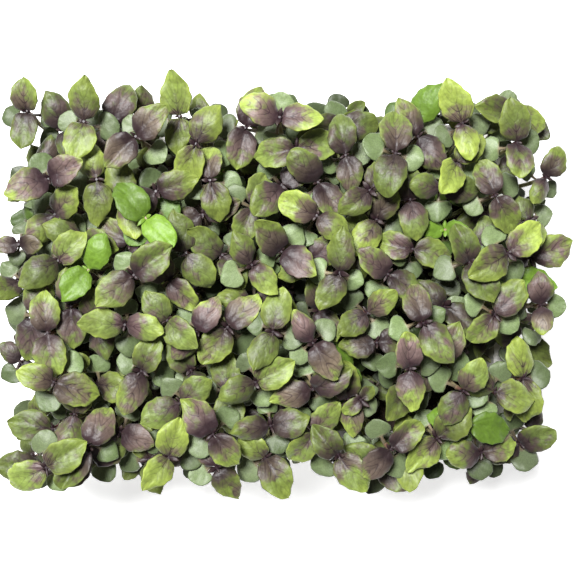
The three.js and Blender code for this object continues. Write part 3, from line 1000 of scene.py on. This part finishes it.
def soilBlock(finish):
    low, high = (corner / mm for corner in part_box("growing_medium"))
    radius, (across, deep) = soil["cornerRadius"], soil["cells"]

    def rounded(s, t):
        x, y = s * high.x, t * high.y
        past = Vector((abs(x) - high.x + radius, abs(y) - high.y + radius)) / radius
        if past.x > 0 and past.y > 0:
            past *= max(past) / past.length
            x = math.copysign(high.x - radius + radius * past.x, x)
            y = math.copysign(high.y - radius + radius * past.y, y)
        return x, y

    points, faces = [], []
    row = across + 1
    for j in range(deep + 1):
        for i in range(row):
            x, y = rounded(2 * i / across - 1, 2 * j / deep - 1)
            points.append(Vector((x, y, high.z + soilRise(x, y))) * mm)
    for j in range(deep):
        for i in range(across):
            a = j * row + i
            faces.append((a, a + 1, a + row + 1, a + row))
    top = meshFrom("soil_top", points, faces)
    rim = list(range(row)) + [(j + 1) * row - 1 for j in range(1, deep + 1)]
    rim += [deep * row + i for i in range(across - 1, -1, -1)] + [j * row for j in range(deep - 1, 0, -1)]
    foot = len(points)
    narrowing = soil["taper"] * (high.z - low.z)
    shrink = Vector((1 - narrowing / high.x, 1 - narrowing / high.y))
    points += [Vector((points[i].x * shrink.x, points[i].y * shrink.y, low.z * mm)) for i in rim]
    for i, corner in enumerate(rim):
        k = (i + 1) % len(rim)
        faces.append((corner, foot + i, foot + k, rim[k]))
    faces.append([foot + i for i in range(len(rim) - 1, -1, -1)])
    block = newObject("medium_block", meshFrom("medium_block", points, faces))
    block.data.materials.append(finish)
    for face in block.data.polygons:
        face.use_smooth = len(face.vertices) == 4
    return block, top


def crumbTree():
    tree, inputs, outputs = newTree("scatterCrumbs", "GeometryNodeTree", [
        ("Ground", "Geometry"), ("Crumbs", "Collection"), ("Density", "Float", 1.0), ("Seed", "Int", 1),
        ("Smallest", "Float", 0.5), ("Largest", "Float", 1.0), ("Finish", "Material"),
    ], [("Layer", "Geometry")])
    spread = addNode(tree, "GeometryNodeDistributePointsOnFaces", {
        "Mesh": inputs["Ground"], "Density": inputs["Density"], "Seed": inputs["Seed"],
    })
    feeds = {1: (6.28, 6.28, 6.28), "Seed": soil["turnSeed"]}
    turns = addNode(tree, "FunctionNodeRandomValue", feeds, data_type="FLOAT_VECTOR")
    feeds = {2: inputs["Smallest"], 3: inputs["Largest"], "Seed": soil["sizeSeed"]}
    sizes = addNode(tree, "FunctionNodeRandomValue", feeds, data_type="FLOAT")
    feeds = {"Rotation": turns.outputs[0], "Scale": sizes.outputs[1]}
    real = instancesOf(tree, spread.outputs[0], inputs["Crumbs"], feeds)
    done = firstOf(tree, "GeometryNodeSetMaterial", {"Geometry": real, "Material": inputs["Finish"]})
    feed(tree, done, outputs["Layer"])
    return tree


def crumbShapes(shelf):
    pick = random.Random(soil["seed"])
    for number, (length, width) in enumerate(soil["crumbForms"]):
        shape = bmesh.new()
        bmesh.ops.create_icosphere(shape, subdivisions=1, radius=mm)
        for vertex in shape.verts:
            vertex.co *= pick.uniform(0.75, 1.2)
            vertex.co = Vector((vertex.co.x * length, vertex.co.y * width, vertex.co.z * width))
        mesh = bpy.data.meshes.new(f"crumb_{number}")
        shape.to_mesh(mesh)
        shape.free()
        shelf.objects.link(bpy.data.objects.new(f"crumb_{number}", mesh))


def holdInside(mesh, half, radius):
    for vertex in mesh.vertices:
        x, y = vertex.co.xy
        past = Vector((max(0, abs(x) - half.x + radius), max(0, abs(y) - half.y + radius)))
        if past.length > radius:
            past *= 1 - radius / past.length
            vertex.co.x -= math.copysign(past.x, x)
            vertex.co.y -= math.copysign(past.y, y)


def makeSoil():
    finish = soilFinish()
    block, top = soilBlock(finish)
    shelf = newShelf("crumbs")
    crumbShapes(shelf)
    area = sum(face.area for face in top.polygons)
    layer = grow("medium_crumbs", top, crumbTree(), {
        "Crumbs": shelf, "Density": soil["crumbs"] / area, "Seed": soil["seed"],
        "Smallest": soil["crumbSize"][0], "Largest": soil["crumbSize"][1], "Finish": finish,
    })
    clearShelf(shelf)
    holdInside(layer.data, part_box("growing_medium")[1], soil["cornerRadius"] * mm)
    for piece in (block, layer):
        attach(piece, "root")
    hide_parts("growing_medium")
    print("medium:", len(layer.data.polygons), "crumb faces")


makeSoil()


# Tray: the moulded shell with softened edges, milky white

trayLook = {"edgeRadius": 0.45, "mergeWithin": 0.01, "flatAngle": 1, "sharpAngle": 30}


def trayFinish():
    material, tree, shader, do = newFinish("mouldedWhite", Specular_IOR_Level=0.5)
    place = objectPlace(tree)
    grain = mottled(tree, place, 3000.0, 2.0)
    clouds = mottled(tree, place, 34.0, 2.0)
    smudges = mottled(tree, place, 60.0, 2.6, 4.0)
    colour = mixColours(tree, clouds, srgb(226, 225, 219), srgb(236, 235, 230))
    soiled = do.times(do.less(smudges, 0.5, clamp=True), 0.16)
    colour = mixColours(tree, soiled, colour, srgb(140, 122, 98))
    paint(tree, shader, colour, do.linear(clouds, 0.16, 0.34), grain, 0.04)
    return material


def makeTray():
    shell = bmesh.new()
    shell.from_mesh(nodes["tray"].data)
    bmesh.ops.remove_doubles(shell, verts=shell.verts, dist=trayLook["mergeWithin"] * mm)
    flat = radians(trayLook["flatAngle"])
    bmesh.ops.dissolve_limit(shell, angle_limit=flat, verts=shell.verts, edges=shell.edges)
    mesh = bpy.data.meshes.new("tray_shell")
    shell.to_mesh(mesh)
    shell.free()
    for face in mesh.polygons:
        face.use_smooth = True
    mesh.set_sharp_from_angle(angle=radians(trayLook["sharpAngle"]))
    piece = newObject("tray_shell", mesh)
    mesh.materials.clear()
    mesh.materials.append(trayFinish())
    bevel = piece.modifiers.new("softEdges", "BEVEL")
    bevel.width, bevel.segments = trayLook["edgeRadius"] * mm, 2
    bevel.limit_method, bevel.angle_limit = "ANGLE", radians(trayLook["sharpAngle"])
    bevel.harden_normals = True
    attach(piece, "root")
    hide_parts("tray")


makeTray()
print("tray made")


# Floor, light and camera

studio = {
    "cameraHeight": 0.38, "cameraShift": 0.0015, "lens": 55, "sensor": 36, "worldStrength": 0.08,
    "keyPlace": Vector((-0.25, 0.35, 1.1)), "keyAim": Vector((0, 0, 0.06)), "keySize": 0.34, "keyPower": 25.5,
    "floorSize": 6.0, "floorGlow": 0.6, "floorColour": (0.9, 0.9, 0.9, 1), "white": (1, 1, 1, 1),
}


def setStudio():
    half = studio["floorSize"] / 2
    corners = [(-half, -half, 0), (half, -half, 0), (half, half, 0), (-half, half, 0)]
    floor = newObject("floor", meshFrom("floor", corners, [(0, 1, 2, 3)]))
    material, _, shader, _ = newFinish("paleFloor", Roughness=0.9, Emission_Strength=studio["floorGlow"])
    shader.inputs["Base Color"].default_value = studio["floorColour"]
    shader.inputs["Emission Color"].default_value = studio["white"]
    floor.data.materials.append(material)
    world = bpy.data.worlds.new("studio")
    world.use_nodes = True
    backdrop = world.node_tree.nodes["Background"]
    backdrop.inputs["Color"].default_value = studio["white"]
    tree = world.node_tree
    seen = addNode(tree, "ShaderNodeLightPath").outputs["Is Camera Ray"]
    feed(tree, doMath(tree, "MAXIMUM", seen, studio["worldStrength"]), backdrop.inputs["Strength"])
    bpy.context.scene.world = world
    light = bpy.data.lights.new("key", "AREA")
    light.shape, light.size, light.energy = "DISK", studio["keySize"], studio["keyPower"]
    lamp = newObject("key", light)
    lamp.location = studio["keyPlace"]
    lamp.rotation_euler = (studio["keyAim"] - studio["keyPlace"]).to_track_quat("-Z", "Y").to_euler()
    camera = newObject("camera", bpy.data.cameras.new("camera"))
    camera.data.lens, camera.data.sensor_width = studio["lens"], studio["sensor"]
    low, high = cadBox
    across, along = (low.x + high.x) / 2 + studio["cameraShift"], (low.y + high.y) / 2
    camera.location = (across, along, studio["cameraHeight"])
    bpy.context.scene.camera = camera
    bpy.context.scene.view_settings.view_transform = "Standard"


setStudio()
